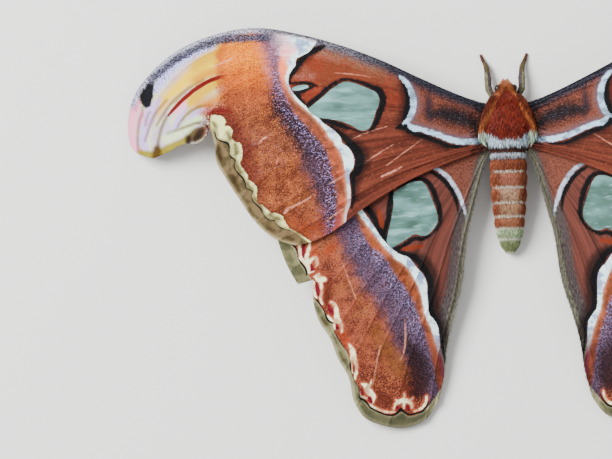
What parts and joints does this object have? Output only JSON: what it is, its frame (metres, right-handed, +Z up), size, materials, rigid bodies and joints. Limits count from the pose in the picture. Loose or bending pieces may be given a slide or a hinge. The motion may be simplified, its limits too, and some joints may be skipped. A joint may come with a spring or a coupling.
{
  "type": "atlas moth",
  "caption": "Large moth resting with its wings spread flat: furred body, hooked forewings over rounded hindwings, short feelers and bent legs.",
  "frame": {"origin": "on the floor under the middle of the moth, seen from above", "axes": "+X to the moth's right, +Y towards its head, +Z up from the floor"},
  "size_m": [0.219, 0.1166, 0.0179],
  "materials": {
    "head_fur": "short brick-red fur, cream at the tip",
    "thorax_fur": "dense brick-red fur with golden edges",
    "abdomen_fur": "short orange fur with pale rings",
    "shoulder_tuft": "golden fur ending in pale green tufts",
    "forewing_scales": "matt scales, orange-brown with white, black and violet bands and a clear window",
    "hindwing_scales": "matt scales, orange-brown with a white band, crimson spots and a clear window",
    "antenna": "dry brown horn",
    "eye": "glossy near-black",
    "palp": "short cream fur",
    "leg": "grey-green fur with a dark stripe, dark red feet"
  },
  "bodies": {
    "root": {"head": "head_fur", "thorax": "thorax_fur", "abdomen": "abdomen_fur", "tegula_left": "shoulder_tuft", "tegula_right": "shoulder_tuft", "forewing_left": "forewing_scales", "forewing_right": "forewing_scales", "hindwing_left": "hindwing_scales", "hindwing_right": "hindwing_scales", "antenna_left": "antenna", "antenna_right": "antenna", "eye_left": "eye", "eye_right": "eye", "palp_left": "palp", "palp_right": "palp", "leg_front_left": "leg", "leg_front_right": "leg", "leg_middle_left": "leg", "leg_middle_right": "leg", "leg_hind_left": "leg", "leg_hind_right": "leg"}
  },
  "joints": []
}
